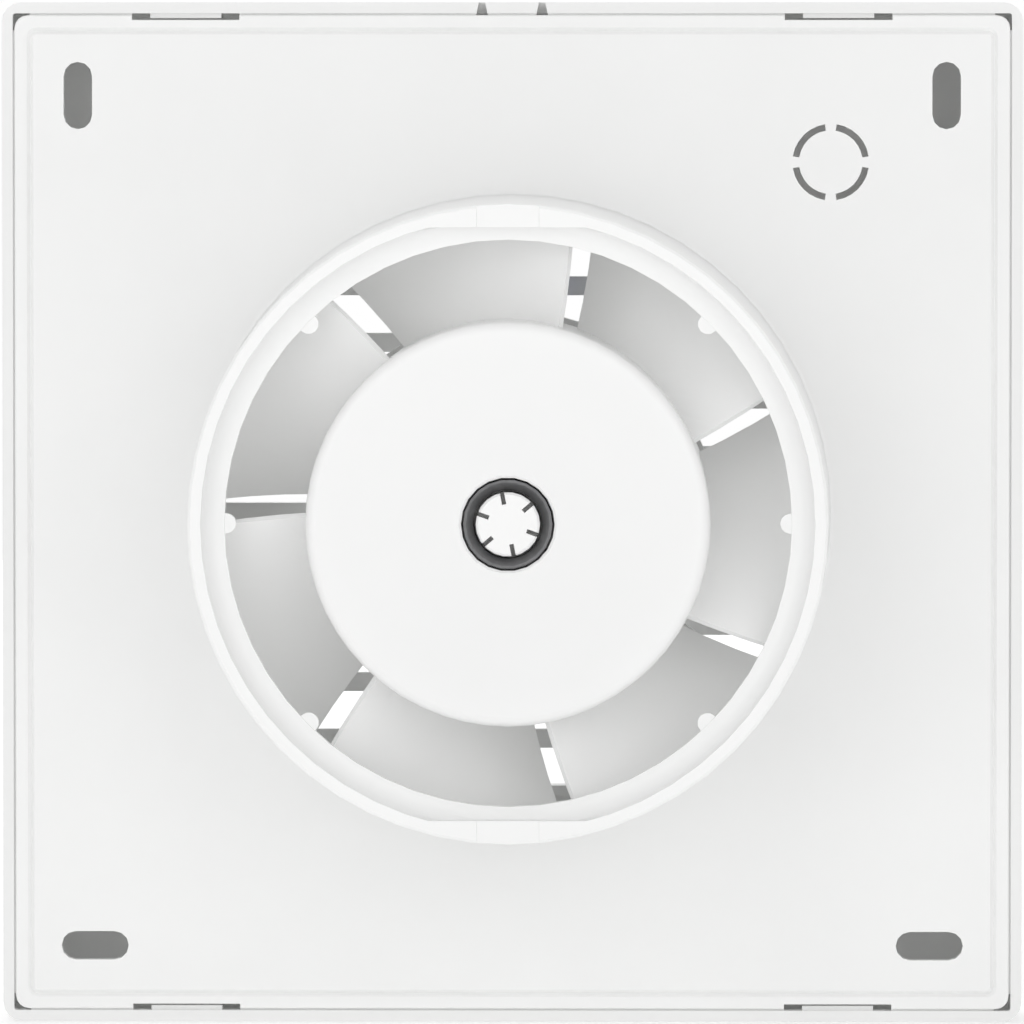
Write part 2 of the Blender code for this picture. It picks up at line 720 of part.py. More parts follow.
def slats():
    """Level slats across the opening, each flat behind and sloping down to a thin nose in front."""
    rear = -SLAT_REAR
    nose = COVER_FRONT + SLAT_SET_IN
    half = SLAT_HEIGHT / 2
    reach = (GRILLE_WIDTH + GRILLE_WALL) / 2
    outline = [(rear, half), (rear, -half), (nose, -half), (nose, SLAT_NOSE - half)]
    outline.append(((rear + nose) / 2, half))
    rows = []
    for number in range(SLAT_COUNT):
        level = GRILLE_Z + (number - (SLAT_COUNT - 1) / 2) * SLAT_PITCH
        rows.append(moved(bar(outline, -reach, reach), 0, 0, level))
    return rows


def grille_rib():
    """The upright rib behind the slats that keeps them from bending."""
    half = RIB_WIDTH / 2
    reach = grille_half_height() + GRILLE_WALL / 2
    depth = (-SLAT_REAR - RIB_DEPTH / 2, -SLAT_REAR + RIB_DEPTH)
    return box((-half, half), depth, (GRILLE_Z - reach, GRILLE_Z + reach))


def ledge_cutters():
    """Breaks in the ledge at the cover's corners and where the clip tongues stand."""
    depth = (LEDGE_FRONT - LEDGE_CUT, LEDGE_REAR + LEDGE_CUT)
    near = LEDGE_HALF - LEDGE_CUT
    far = COVER_INNER_HALF + LEDGE_CUT
    corner = LEDGE_HALF - LEDGE_CORNER_GAP
    half = NOTCH_LENGTH / 2
    cutters = []
    for side in (-1, 1):
        for height in (-1, 1):
            corner_x = sorted((side * corner, side * far))
            corner_z = sorted((height * corner, height * far))
            cutters.append(box(corner_x, depth, corner_z))
            middle = side * CLIP_X
            notch_z = sorted((height * near, height * far))
            cutters.append(box((middle - half, middle + half), depth, notch_z))
    return cutters


def clip_tongues():
    """Tongues on the cover's inner wall that lie in the plate's notches."""
    half = TONGUE_LENGTH / 2
    depth = (-SKIRT_DEPTH, -TONGUE_SET_BACK)
    inner = PLATE_HALF - NOTCH_DEPTH + FIT
    outer = (COVER_INNER_HALF + COVER_HALF) / 2
    tongues = []
    for side in (-1, 1):
        for height in (-1, 1):
            heights = sorted((height * inner, height * outer))
            middle = side * CLIP_X
            tongues.append(box((middle - half, middle + half), depth, heights))
    return tongues


def finger_slits():
    """Two tapered slits in the cover's top wall that free the release finger between them."""
    inner = COVER_INNER_HALF
    outer = COVER_HALF
    slope = (FINGER_SLIT_OUTER - FINGER_SLIT_INNER) / (outer - inner) / 2
    slits = []
    for side in (-1, 1):
        middle = side * FINGER_SLIT_X
        outline = []
        for level, edge in ((LEDGE_HALF - OVERLAP, -1), (outer + OVERLAP, 1)):
            half = FINGER_SLIT_INNER / 2 + slope * (level - inner)
            outline.append((middle + edge * half, level))
            outline.append((middle - edge * half, level))
        slits.append(prism(outline, -COVER_REAR_GAP - FINGER_LENGTH, OVERLAP))
    return slits


def build_cover(material):
    """The clip-on cover with its slatted grille."""
    cover = add_object("front_cover", cover_shell())
    opening = prism(grille_outline(0), COVER_FRONT - OVERLAP, -SLAT_REAR)
    combine(cover, "DIFFERENCE", opening, merged(finger_slits() + ledge_cutters()))
    combine(cover, "UNION", grille_wall(), merged(slats()), grille_rib(), merged(clip_tongues()))
    return finish(cover, material)


def hub_cup():
    """The impeller's cup-shaped hub with its rounded shoulder."""
    inner_face = HUB_REAR - HUB_FACE
    shoulder = HUB_RADIUS - HUB_SHOULDER
    fillet = HUB_INNER_FILLET
    profile = [(0, HUB_REAR)]
    profile += arc(shoulder, HUB_REAR - HUB_SHOULDER, HUB_SHOULDER, 90, 0, ROUND_STEPS)
    profile += [(HUB_RADIUS, HUB_FRONT), (HUB_INNER, HUB_FRONT)]
    profile += arc(HUB_INNER - fillet, inner_face - fillet, fillet, 0, 90, ARC_STEPS)
    profile.append((0, inner_face))
    return revolve(profile)


def ring_pocket_cutter():
    """The pocket round the collet for the clamp ring, with the collet's end a little sunk."""
    floor = HUB_REAR - RING_POCKET_DEPTH
    above = HUB_REAR + OVERLAP
    profile = [(0, COLLET_REAR), (COLLET_RADIUS - COLLET_CHAMFER, COLLET_REAR)]
    profile += [(COLLET_RADIUS, COLLET_REAR - COLLET_CHAMFER), (COLLET_RADIUS, floor)]
    profile += [(RING_POCKET_RADIUS, floor), (RING_POCKET_RADIUS, HUB_REAR - COLLET_CHAMFER)]
    profile += [(RING_POCKET_RADIUS + COLLET_CHAMFER + OVERLAP, above), (0, above)]
    return revolve(profile, MEDIUM_STEPS)


def blade_section(radius):
    """The closed outline of a blade on a cylinder of this radius, rear edge first."""
    outward = (radius - HUB_RADIUS) / (LIP_RADIUS - HUB_RADIUS)
    trailing = TRAILING_AT_HUB + outward * (TRAILING_AT_LIP - TRAILING_AT_HUB)
    leading = LEADING_AT_HUB + outward * (LEADING_AT_LIP - LEADING_AT_HUB)
    arc_length = radius * math.radians(leading - trailing)
    straight = 2 - BLADE_TURN
    rear_side = []
    front_side = []
    for point in range(BLADE_POINTS):
        share = point / (BLADE_POINTS - 1)
        fall = straight * share + (1 - straight) * (1 - (1 - share) ** 2)
        slope = BLADE_DEPTH / arc_length * (straight + 2 * (1 - straight) * (1 - share))
        tilt = math.atan(slope)
        half = (BLADE_EDGE + (BLADE_THICKNESS - BLADE_EDGE) * math.sin(math.pi * share)) / 2
        y = BLADE_REAR - BLADE_DEPTH * fall
        for side, row in ((1, rear_side), (-1, front_side)):
            along = arc_length * share + side * half * math.sin(tilt)
            x, z = polar(trailing + math.degrees(along / radius), radius)
            row.append((x, y + side * half * math.cos(tilt), z))
    return rear_side + front_side[::-1]


def blade_mesh(number):
    """One twisted blade, rooted inside the hub's wall."""
    root = HUB_RADIUS - HUB_WALL / 2
    radii = [root + (TIP_RADIUS - root) * step / (BLADE_SECTIONS - 1) for step in range(BLADE_SECTIONS)]
    blade = loft([blade_section(radius) for radius in radii], slender=True)
    return turned(blade, 360 / BLADE_COUNT * number)


def collet_slit_cutters():
    """Slits that split the collet's end into six fingers."""
    half = COLLET_SLIT_WIDTH / 2
    outer = (COLLET_RADIUS + RING_INNER_RADIUS) / 2
    depth = (HUB_REAR - COLLET_SLIT_DEPTH, HUB_REAR + OVERLAP)
    cutters = []
    for number in range(COLLET_SLITS):
        slit = box((-half, half), depth, (COLLET_SLIT_START, outer))
        cutters.append(turned(slit, COLLET_SLIT_ANGLE + 360 / COLLET_SLITS * number))
    return cutters


def build_impeller(material, axis):
    """The moulded impeller: hub, blades and slit collet on a boss bored for the shaft."""
    impeller = add_object("impeller", hub_cup())
    boss = cylinder(BOSS_RADIUS, BOSS_FRONT, HUB_REAR - HUB_FACE / 2, MEDIUM_STEPS)
    combine(impeller, "UNION", boss, merged([blade_mesh(number) for number in range(BLADE_COUNT)]))
    bore = cylinder(SHAFT_BORE, BOSS_FRONT - OVERLAP, SHAFT_REAR + FIT)
    combine(impeller, "DIFFERENCE", ring_pocket_cutter(), bore)
    combine(impeller, "DIFFERENCE", merged(collet_slit_cutters()))
    return finish(impeller, material, axis)


def build_clamp_ring(material, axis):
    """The dark ring pressed over the collet's fingers."""
    outer = RING_POCKET_RADIUS - FIT
    rear = HUB_REAR - RING_SINK
    front = HUB_REAR - RING_POCKET_DEPTH + FIT
    profile = [(RING_INNER_RADIUS, front), (outer, front), (outer, rear)]
    profile += [(outer - RING_BEVEL / 2, rear), (RING_INNER_RADIUS, rear - RING_BEVEL)]
    return finish(add_object("hub_clamp_ring", revolve(profile, MEDIUM_STEPS)), material, axis)


def build_shaft(material, axis):
    """The motor shaft, from the front bearing into the collet."""
    edge = SHAFT_RADIUS - SHAFT_CHAMFER
    profile = [(0, SHAFT_FRONT), (edge, SHAFT_FRONT), (SHAFT_RADIUS, SHAFT_FRONT + SHAFT_CHAMFER)]
    profile += [(SHAFT_RADIUS, SHAFT_REAR - SHAFT_CHAMFER), (edge, SHAFT_REAR), (0, SHAFT_REAR)]
    return finish(add_object("shaft", revolve(profile, SMALL_STEPS)), material, axis)


def build_rotor(material, axis):
    """The squirrel-cage rotor with its two end rings."""
    outer = POLE_BORE - AIR_GAP
    front = STACK_FRONT - CAGE_RING
    rear = STACK_REAR + CAGE_RING
    profile = [(SHAFT_BORE, STACK_FRONT), (CAGE_INNER, STACK_FRONT), (CAGE_INNER, front), (outer, front)]
    profile += [(outer, rear), (CAGE_INNER, rear), (CAGE_INNER, STACK_REAR), (SHAFT_BORE, STACK_REAR)]
    return finish(add_object("rotor_core", revolve(profile, MEDIUM_STEPS)), material, axis)


def bearing_places():
    """Depths of the two bearings, front one first, each clear of the rotor by a washer."""
    rest = FIT + WASHER_THICKNESS + FIT
    return (STACK_FRONT - rest - BEARING_LENGTH, STACK_REAR + rest)


def build_washers(material, axis):
    """Thrust washers between the rotor and its bearings."""
    places = (STACK_FRONT - FIT - WASHER_THICKNESS, STACK_REAR + FIT)
    for name, front in zip(("front_thrust_washer", "rear_thrust_washer"), places):
        rear = front + WASHER_THICKNESS
        profile = [(SHAFT_BORE, front), (WASHER_RADIUS, front), (WASHER_RADIUS, rear), (SHAFT_BORE, rear)]
        finish(add_object(name, revolve(profile, SMALL_STEPS)), material, axis)


def build_bearings(material):
    """Sintered sleeve bearings with a crowned outside."""
    for name, front in zip(("front_bearing", "rear_bearing"), bearing_places()):
        rear = front + BEARING_LENGTH
        shoulder = BEARING_RADIUS - BEARING_CROWN
        quarter = BEARING_LENGTH / 4
        profile = [(SHAFT_BORE, front), (shoulder, front), (BEARING_RADIUS, front + quarter)]
        profile += [(BEARING_RADIUS, rear - quarter), (shoulder, rear), (SHAFT_BORE, rear)]
        finish(add_object(name, revolve(profile, SMALL_STEPS)), material)


def pole_mesh(number):
    """One pole with its curved shoe, rooted in the yoke."""
    half = POLE_WIDTH / 2
    root = (YOKE_INNER + STACK_RADIUS) / 2
    bore = arc(0, 0, POLE_BORE, 90 - SHOE_HALF_ANGLE, 90 + SHOE_HALF_ANGLE, SLOT_STEPS)
    outline = bore + [polar(SHOE_HALF_ANGLE, SHOE_OUTER)]
    outline += [(-half, SHOE_OUTER), (-half, root), (half, root), (half, SHOE_OUTER)]
    outline.append(polar(-SHOE_HALF_ANGLE, SHOE_OUTER))
    pole = prism(outline, STACK_FRONT, STACK_REAR)
    return turned(pole, FIRST_POLE + 360 / POLE_COUNT * number)


def bolt_holes(front, rear):
    """Clearance holes for the two motor bolts."""
    holes = []
    for angle in BOLT_ANGLES:
        x, z = polar(angle, BOLT_CIRCLE)
        holes.append(moved(cylinder(BOLT_HOLE, front - OVERLAP, rear + OVERLAP), x, 0, z))
    return holes


def build_stator(material):
    """The laminated stator: a round yoke with four inward poles."""
    profile = [(YOKE_INNER, STACK_FRONT), (STACK_RADIUS, STACK_FRONT)]
    profile += [(STACK_RADIUS, STACK_REAR), (YOKE_INNER, STACK_REAR)]
    stator = add_object("stator_core", revolve(profile, MEDIUM_STEPS))
    combine(stator, "UNION", merged([pole_mesh(number) for number in range(POLE_COUNT)]))
    combine(stator, "DIFFERENCE", merged(bolt_holes(STACK_FRONT, STACK_REAR)))
    return finish(stator, material)


def build_coils(material):
    """A wound coil round each pole."""
    for number in range(POLE_COUNT):
        loops = []
        inner_x = POLE_WIDTH / 2 + FIT
        inner_y = STACK_LENGTH / 2 + FIT
        radii = (COIL_INNER_RADIUS, COIL_INNER_RADIUS, COIL_OUTER_RADIUS, COIL_OUTER_RADIUS)
        for radius, extra in zip(radii, (0, COIL_THICKNESS, COIL_THICKNESS, 0)):
            corner = COIL_ROUND + extra / 2
            outline = rounded_rectangle(inner_x + extra, inner_y + extra, corner)
            loops.append([(x, STACK_MIDDLE + y, radius) for x, y in outline])
        coil = turned(loft(loops, ring=True), FIRST_POLE + 360 / POLE_COUNT * number)
        finish(add_object(f"coil_{number + 1}", coil), material)


def lead_places():
    """Where the two leads pass through to the first coil."""
    centre = Vector(polar(FIRST_POLE, LEAD_CIRCLE))
    across = Vector(polar(FIRST_POLE + 90, LEAD_SPACING / 2))
    return [centre - across, centre + across]


def lead_holes(front, rear):
    """Clearance holes for the two leads."""
    holes = []
    for x, z in lead_places():
        holes.append(moved(cylinder(LEAD_HOLE, front - OVERLAP, rear + OVERLAP), x, 0, z))
    return holes


def bracket_profile(outer_end, stack_end, bearing_ends):
    """Half section of an end bracket: rim against the stack, web at the outer end and bearing seat."""
    inward = 1 if stack_end > outer_end else -1
    web = outer_end + inward * BRACKET_WEB
    seat_wall = BEARING_SEAT + BRACKET_HUB_WALL
    near, far = bearing_ends
    profile = [(BEARING_SEAT, near), (seat_wall, near), (seat_wall, outer_end), (BRACKET_RADIUS, outer_end)]
    profile += [(BRACKET_RADIUS, stack_end), (BRACKET_WALL_INNER, stack_end), (BRACKET_WALL_INNER, web)]
    profile += [(seat_wall, web), (seat_wall, far), (BEARING_SEAT, far)]
    return profile


def build_brackets(material):
    """The two motor end brackets, each with a bearing seat."""
    front_bearing, rear_bearing = bearing_places()
    ends = (front_bearing, STACK_FRONT - CAGE_RING - FIT)
    profile = bracket_profile(BRACKET_FRONT, STACK_FRONT - FIT, ends)
    front = add_object("front_end_bracket", revolve(profile, MEDIUM_STEPS))
    holes = bolt_holes(BRACKET_FRONT, STACK_FRONT) + lead_holes(BRACKET_FRONT, COIL_FRONT)
    combine(front, "DIFFERENCE", merged(holes))
    finish(front, material)
    ends = (rear_bearing + BEARING_LENGTH, STACK_REAR + CAGE_RING + FIT)
    profile = bracket_profile(BRACKET_REAR, STACK_REAR + FIT, ends)
    rear = add_object("rear_end_bracket", revolve(profile, MEDIUM_STEPS))
    combine(rear, "DIFFERENCE", merged(bolt_holes(STACK_REAR, BRACKET_REAR)))
    finish(rear, material)


def cut_drive(screw, place, front, radius, slots):
    """Cuts a screwdriver slot into a head, or two that cross."""
    x, z = place
    reach = radius * DRIVE_REACH
    half = DRIVE_WIDTH / 2
    depth = (front - OVERLAP, front + DRIVE_DEPTH)
    level = box((x - reach, x + reach), depth, (z - half, z + half))
    upright = box((x - half, x + half), depth, (z - reach, z + reach))
    combine(screw, "DIFFERENCE", *(level, upright)[:slots])


def build_motor_bolts(material):
    """Long bolts through carrier, brackets and stack, with their nuts."""
    nut_front = BRACKET_REAR + FIT
    for number, angle in enumerate(BOLT_ANGLES, 1):
        x, z = polar(angle, BOLT_CIRCLE)
        head_rear = CARRIER_FRONT - FIT
        head_front = head_rear - BOLT_HEAD_HEIGHT
        tail = nut_front + NUT_HEIGHT + BOLT_TAIL
        profile = [(0, head_front), (BOLT_HEAD_RADIUS * HEAD_CROWN, head_front)]
        profile += [(BOLT_HEAD_RADIUS, head_front + BOLT_HEAD_HEIGHT / 3), (BOLT_HEAD_RADIUS, head_rear)]
        profile += [(BOLT_RADIUS, head_rear), (BOLT_RADIUS, tail), (0, tail)]
        bolt = add_object(f"motor_bolt_{number}", moved(revolve(profile, SMALL_STEPS), x, 0, z))
        cut_drive(bolt, (x, z), head_front, BOLT_HEAD_RADIUS, 1)
        finish(bolt, material)
        bore = BOLT_HOLE
        nut = [(bore, nut_front), (NUT_RADIUS, nut_front), (NUT_RADIUS, nut_front + NUT_HEIGHT)]
        nut.append((bore, nut_front + NUT_HEIGHT))
        finish(add_object(f"motor_nut_{number}", moved(revolve(nut, NUT_SIDES), x, 0, z)), material)


def carrier_arm(angle):
    """One arm of the carrier with its stiffening rib and screw pad."""
    half = ARM_WIDTH / 2
    start = CARRIER_OUTER - CUP_WALL
    outline = [(-half, start), (half, start), (half, PAD_CIRCLE), (-half, PAD_CIRCLE)]
    arm = prism(outline, CARRIER_FRONT + ARM_INSET, CARRIER_REAR - ARM_INSET)
    rib_half = ARM_RIB / 2
    rib_end = PAD_CIRCLE - PAD_RADIUS - OVERLAP
    middle = CARRIER_FRONT + CARRIER_THICKNESS / 2
    section = [(middle, start), (CARRIER_REAR + ARM_RIB_HEIGHT, start)]
    section += [(CARRIER_REAR - ARM_INSET / 2, rib_end), (middle, rib_end)]
    rib = bar(section, -rib_half, rib_half)
    pad = moved(cylinder(PAD_RADIUS, CARRIER_FRONT, CARRIER_REAR), 0, 0, PAD_CIRCLE)
    return [turned(piece, angle) for piece in (arm, rib, pad)]


def carrier_rim():
    """The thin ring round the carrier's flange, which the arms hold."""
    inner = FLANGE_RADIUS + RIM_GAP
    outer = inner + RIM_WALL
    front = CARRIER_FRONT
    rear = CARRIER_REAR
    return revolve([(inner, front), (outer, front), (outer, rear), (inner, rear)], MEDIUM_STEPS)


def build_carrier(material):
    """The three-armed carrier whose cup holds the motor's front end."""
    inner = CARRIER_OUTER - CUP_WALL
    cup_rear = CARRIER_REAR + CUP_DEPTH
    profile = [(CARRIER_HOLE, CARRIER_FRONT), (FLANGE_RADIUS, CARRIER_FRONT), (FLANGE_RADIUS, CARRIER_REAR)]
    profile += [(CARRIER_OUTER, CARRIER_REAR), (CARRIER_OUTER, cup_rear), (inner, cup_rear)]
    profile += [(inner, CARRIER_REAR), (CARRIER_HOLE, CARRIER_REAR)]
    carrier = add_object("motor_carrier", revolve(profile, MEDIUM_STEPS))
    combine(carrier, "UNION", carrier_rim())
    for angle in CARRIER_ARM_ANGLES:
        combine(carrier, "UNION", *carrier_arm(angle))
    screw_holes = []
    for x, z in carrier_pads():
        hole = cylinder(SCREW_HOLE, CARRIER_FRONT - OVERLAP, CARRIER_REAR + OVERLAP)
        screw_holes.append(moved(hole, x, 0, z))
    holes = screw_holes + bolt_holes(CARRIER_FRONT, CARRIER_REAR) + lead_holes(CARRIER_FRONT, CARRIER_REAR)
    combine(carrier, "DIFFERENCE", merged(holes))
    return finish(carrier, material)


def add_screw(name, place, seat, length, material):
    """A cross-head screw whose head rests on a face at this depth."""
    x, z = place
    head_front = seat - FIT - SCREW_HEAD_HEIGHT
    tip = seat + length
    profile = [(0, head_front), (SCREW_HEAD_RADIUS * HEAD_CROWN, head_front)]
    profile += [(SCREW_HEAD_RADIUS, head_front + SCREW_HEAD_HEIGHT / 2), (SCREW_HEAD_RADIUS, seat - FIT)]
    profile += [(SCREW_RADIUS, seat - FIT), (SCREW_RADIUS, tip - SCREW_RADIUS), (0, tip)]
    screw = add_object(name, moved(revolve(profile, SMALL_STEPS), x, 0, z))
    cut_drive(screw, place, head_front, SCREW_HEAD_RADIUS, 2)
    finish(screw, material)


def build_screws(material):
    """The screws of the carrier, cable clamp and terminal block."""
    for number, place in enumerate(carrier_pads(), 1):
        add_screw(f"carrier_screw_{number}", place, CARRIER_FRONT, SCREW_LENGTH, material)
    for number, place in enumerate(clamp_screw_places(), 1):
        length = CLAMP_THICKNESS + CLAMP_BOSS_HEIGHT
        add_screw(f"clamp_screw_{number}", place, CLAMP_FRONT, length, material)
    seat = TERMINAL_FRONT + TERMINAL_WELL_DEPTH
    length = TERMINAL_REAR - seat + TERMINAL_BOSS_HEIGHT
    add_screw("terminal_fixing_screw", terminal_fixing_place(), seat, length, material)


def terminal_screw_places():
    """Places of the two terminal screws."""
    return [(TERMINAL_X + TERMINAL_SCREW_X, TERMINAL_Z + side * TERMINAL_POLE_Z) for side in (1, -1)]


def terminal_entry_depth():
    """Depth of the wire entries, behind the screw wells."""
    return (TERMINAL_FRONT + TERMINAL_REAR + TERMINAL_WELL_DEPTH) / 2


def side_hole(x_start, x_end, y, z, radius):
    """A round hole that runs sideways."""
    last = 360 - 360 / SMALL_STEPS
    outline = [(y + a, z + b) for a, b in arc(0, 0, radius, 0, last, SMALL_STEPS - 1)]
    return bar(outline, x_start, x_end)


def build_terminal_block(material):
    """The two-pole terminal block with its wire entries, screw wells and fixing hole."""
    half_x = TERMINAL_WIDTH / 2
    half_z = TERMINAL_HEIGHT / 2
    outline = rounded_rectangle(half_x, half_z, TERMINAL_CORNER)
    body = moved(prism(outline, TERMINAL_FRONT, TERMINAL_REAR), TERMINAL_X, 0, TERMINAL_Z)
    block = add_object("terminal_block", body)
    cutters = []
    level = terminal_entry_depth()
    right = TERMINAL_X + half_x
    for x, z in terminal_screw_places():
        cutters.append(side_hole(right - TERMINAL_ENTRY_DEPTH, right + OVERLAP, level, z, TERMINAL_ENTRY))
        well_floor = TERMINAL_FRONT + TERMINAL_WELL_DEPTH
        cutters.append(moved(cylinder(TERMINAL_WELL, TERMINAL_FRONT - OVERLAP, well_floor), x, 0, z))
    x, z = terminal_fixing_place()
    head_well = SCREW_HEAD_RADIUS + FIT
    cutters.append(moved(cylinder(SCREW_HOLE, TERMINAL_FRONT, TERMINAL_REAR + OVERLAP), x, 0, z))
    combine(block, "DIFFERENCE", merged(cutters))
    well = moved(cylinder(head_well, TERMINAL_FRONT - OVERLAP, TERMINAL_FRONT + TERMINAL_WELL_DEPTH), x, 0, z)
    combine(block, "DIFFERENCE", well)
    return finish(block, material)


def build_terminal_screws(material):
    """The brass clamping screws in the terminal block's wells."""
    for number, (x, z) in enumerate(terminal_screw_places(), 1):
        rear = TERMINAL_FRONT + TERMINAL_WELL_DEPTH - FIT
        front = rear - TERMINAL_SCREW_HEIGHT
        edge = TERMINAL_SCREW_RADIUS * HEAD_CROWN
        profile = [(0, front), (edge, front), (TERMINAL_SCREW_RADIUS, front + TERMINAL_SCREW_RADIUS - edge)]
        profile += [(TERMINAL_SCREW_RADIUS, rear), (0, rear)]
        screw = add_object(f"terminal_screw_{number}", moved(revolve(profile, SMALL_STEPS), x, 0, z))
        cut_drive(screw, (x, z), front, TERMINAL_SCREW_RADIUS, 1)
        finish(screw, material)


def build_cable_clamp(material):
    """The arched bar that grips the supply cable."""
    half = CLAMP_SPAN / 2 + CLAMP_EAR
    flat = CLAMP_SPAN / 2 - SCREW_HEAD_RADIUS
    front = []
    rear = []
    for x in (-half, -flat):
        front.append((x, CLAMP_FRONT))
        rear.append((x, CLAMP_REAR))
    for step in range(1, ARC_STEPS):
        x = -flat + 2 * flat * step / ARC_STEPS
        rise = CLAMP_ARCH * math.sin(math.pi * step / ARC_STEPS)
        front.append((x, CLAMP_FRONT - rise))
        rear.append((x, CLAMP_REAR - rise))
    for x in (flat, half):
        front.append((x, CLAMP_FRONT))
        rear.append((x, CLAMP_REAR))
    outline = front + rear[::-1]
    levels = (CLAMP_Z - CLAMP_WIDTH / 2, CLAMP_Z + CLAMP_WIDTH / 2)
    clamp = add_object("cable_clamp", loft([[(CLAMP_X + x, y, z) for x, y in outline] for z in levels]))
    holes = []
    for x, z in clamp_screw_places():
        hole = cylinder(SCREW_HOLE, CLAMP_FRONT - OVERLAP, CLAMP_REAR + OVERLAP)
        holes.append(moved(hole, x, 0, z))
    combine(clamp, "DIFFERENCE", merged(holes))
    return finish(clamp, material)


def smooth_route(points):
    """Points at even steps on a smooth curve through the route's own points."""
    ends = [points[0] * 2 - points[1]] + points + [points[-1] * 2 - points[-2]]
    route = []
    for before, start, end, after in zip(ends, ends[1:], ends[2:], ends[3:]):
        steps = max(2, round((end - start).length / LEAD_POINT_GAP))
        for step in range(steps):
            t = step / steps
            bend = 2 * before - 5 * start + 4 * end - after
            twist = 3 * start - before - 3 * end + after
            route.append(start + 0.5 * t * (end - before + t * (bend + t * twist)))
    return route + [points[-1]]


def lead_route(number):
    """The way of one lead: terminal, round the tunnel's mouth, then along the arm to the first coil."""
    _, terminal_z = terminal_screw_places()[number]
    hole_x, hole_z = lead_places()[number]
    side = 1 - 2 * number
    entry_y = terminal_entry_depth()
    right = TERMINAL_X + TERMINAL_WIDTH / 2
    above_arm = CARRIER_FRONT - LEAD_RADIUS - FIT - LEAD_CLEARANCE
    apart = side * LEAD_SPACING / 2
    route = [
        Vector((right - TERMINAL_ENTRY_DEPTH + FIT, entry_y, terminal_z)),
        Vector((right + LEAD_STRAIGHT, entry_y, terminal_z)),
    ]
    for angle in LEAD_RING_ANGLES:
        x, z = polar(angle, LEAD_RING_RADIUS + apart)
        route.append(Vector((x, above_arm, z)))
    along_x, along_z = polar(FIRST_POLE, LEAD_ARM_RADIUS)
    across_x, across_z = polar(FIRST_POLE - 90, apart)
    route.append(Vector((along_x + across_x, above_arm, along_z + across_z)))
    outward_x, outward_z = polar(FIRST_POLE, LEAD_STRAIGHT)
    for step in (3, 1):
        route.append(Vector((hole_x + step * outward_x, above_arm, hole_z + step * outward_z)))
    for depth in (CARRIER_FRONT, CARRIER_REAR, BRACKET_FRONT, COIL_FRONT - FIT):
        route.append(Vector((hole_x, depth, hole_z)))
    return route


def build_leads(materials):
    """The two insulated leads from the terminal block to the motor."""
    for number, name in enumerate(("lead_live", "lead_neutral")):
        curve = bpy.data.curves.new(name, "CURVE")
        curve.dimensions = "3D"
        curve.bevel_depth = LEAD_RADIUS
        curve.bevel_resolution = 1
        curve.use_fill_caps = True
        route = smooth_route(lead_route(number))
        spline = curve.splines.new("POLY")
        spline.points.add(len(route) - 1)
        for point, place in zip(spline.points, route):
            point.co = (*place, 1)
        curve.materials.append(materials[number])
        item = bpy.data.objects.new(name, curve)
        bpy.context.scene.collection.objects.link(item)


def make_axis(name):
    """An empty on the fan axis that carries what turns."""
    axis = bpy.data.objects.new(name, None)
    axis.empty_display_size = HUB_RADIUS
    bpy.context.scene.collection.objects.link(axis)
    return axis


def main():
    clear_scene()
    white = make_material("white_plastic", (0.86, 0.86, 0.855), 0.38)
    bright_white = make_material("impeller_plastic", (0.88, 0.88, 0.875), 0.35)
    dark = make_material("blackened_steel", (0.075, 0.075, 0.08), 0.5, 0.6)
    steel = make_material("bright_steel", (0.62, 0.62, 0.63), 0.3, 1.0)
    zinc = make_material("zinc_plated_steel", (0.7, 0.7, 0.68), 0.35, 1.0)
    laminate = make_material("laminated_steel", (0.33, 0.34, 0.36), 0.5, 0.9)
    cage = make_material("cast_aluminium", (0.7, 0.71, 0.72), 0.45, 1.0)
    copper = make_material("enamelled_copper", (0.62, 0.25, 0.1), 0.35, 0.8)
    bronze = make_material("sintered_bronze", (0.55, 0.38, 0.2), 0.55, 0.9)
    nylon = make_material("nylon", (0.8, 0.78, 0.7), 0.5)
    brass = make_material("brass", (0.75, 0.55, 0.25), 0.35, 1.0)
    brown = make_material("brown_insulation", (0.22, 0.09, 0.04), 0.5)
    blue = make_material("blue_insulation", (0.05, 0.16, 0.45), 0.5)
    axis = make_axis("impeller_axis")
    build_housing(white)
    build_cover(white)
    build_impeller(bright_white, axis)
    build_clamp_ring(dark, axis)
    build_shaft(steel, axis)
    build_rotor(laminate, axis)
    build_washers(nylon, axis)
    build_bearings(bronze)
    build_stator(laminate)
    build_coils(copper)
    build_brackets(cage)
    build_motor_bolts(zinc)
    build_carrier(white)
    build_screws(zinc)
    build_terminal_block(nylon)
    build_terminal_screws(brass)
    build_cable_clamp(white)
    build_leads((brown, blue))


main()
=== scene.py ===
"""Looks of the bathroom extractor fan: finishes, soft edges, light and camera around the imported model."""

import math

import bmesh
import bpy
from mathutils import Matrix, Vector

MM = 0.001

# The axes that count when a distance is measured across the fan or over the floor
FAN_PLANE = (1, 0, 1)
FLOOR_PLANE = (1, 1, 0)

# Camera, from the photograph's framing: it stands behind the fan, a little above and to one side
CAMERA_PLACE = Vector((-27 * MM, 1820 * MM, 74 * MM))
CAMERA_AIM = Vector((0, 0, 0.13 * MM))
FRAME_WIDTH = 158.6 * MM
SENSOR_WIDTH_MM = 36

# Stage: the floor glows a little, and more from GLOW_START outwards to its edge
FLOOR_LEVEL = -79.05 * MM
FLOOR_REACH = 1.6
FLOOR_COLOUR = (0.9, 0.9, 0.9)
FLOOR_GLOW = 0.2
FAR_GLOW = 0.45
GLOW_START = 0.35

# Light: AMBIENT is the sky's strength, which falls by SIDE_SHADE towards the left and right
AMBIENT = 0.73
SIDE_SHADE = 0.2
LIGHT_BOUNCES = 24

